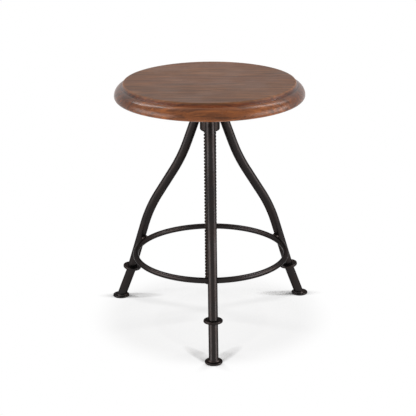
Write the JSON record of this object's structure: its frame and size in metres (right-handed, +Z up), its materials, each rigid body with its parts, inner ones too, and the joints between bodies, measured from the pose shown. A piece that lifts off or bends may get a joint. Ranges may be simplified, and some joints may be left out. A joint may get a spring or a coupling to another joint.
{
  "type": "workshop stool",
  "caption": "Round wooden seat on a threaded spindle that screws up and down through a hub, on bent bar legs tied by a foot ring, with foot discs.",
  "frame": {"origin": "on the floor, on the spindle's axis", "axes": "+Z up; -Y towards the front leg; the seat is screwed right down"},
  "size_m": [0.4028, 0.41, 0.48],
  "materials": {
    "seat_wood": "worn oiled hardwood, satin",
    "bar_iron": "dark bronze over steel, semi-gloss",
    "weld_bead": "browned weld, satin",
    "bolt_steel": "dull zinc-plated steel"
  },
  "bodies": {
    "stand": {"hub": "bar_iron", "leg_front": "bar_iron", "leg_left": "bar_iron", "leg_right": "bar_iron", "foot_ring": "bar_iron", "collar_front": "bar_iron", "collar_left": "bar_iron", "collar_right": "bar_iron", "foot_disc_front": "bar_iron", "foot_disc_left": "bar_iron", "foot_disc_right": "bar_iron", "hub_welds": "weld_bead", "ring_welds": "weld_bead", "collar_welds": "weld_bead", "foot_welds": "weld_bead"},
    "lift_stop": {"stop_washer": "bar_iron"},
    "seat_and_spindle": {"seat": "seat_wood", "seat_plate": "bar_iron", "plate_screws": "bolt_steel", "lift_screw": "bar_iron", "plate_weld": "weld_bead", "stop_screw": "bolt_steel"}
  },
  "joints": [
    {"name": "spindle_lift", "type": "slide", "parent": "stand", "child": "lift_stop", "axis": [0, 0, 1], "range_m": [0, 0.3083]},
    {"name": "seat_turn", "type": "hinge", "parent": "lift_stop", "child": "seat_and_spindle", "pos_m": [0, 0, 0.449], "axis": [0, 0, 1], "range_deg": [0, 17075]}
  ],
  "couplings": [
    {"joint": "spindle_lift", "follows": "seat_turn", "m_per_rad": 0.0010345}
  ]
}
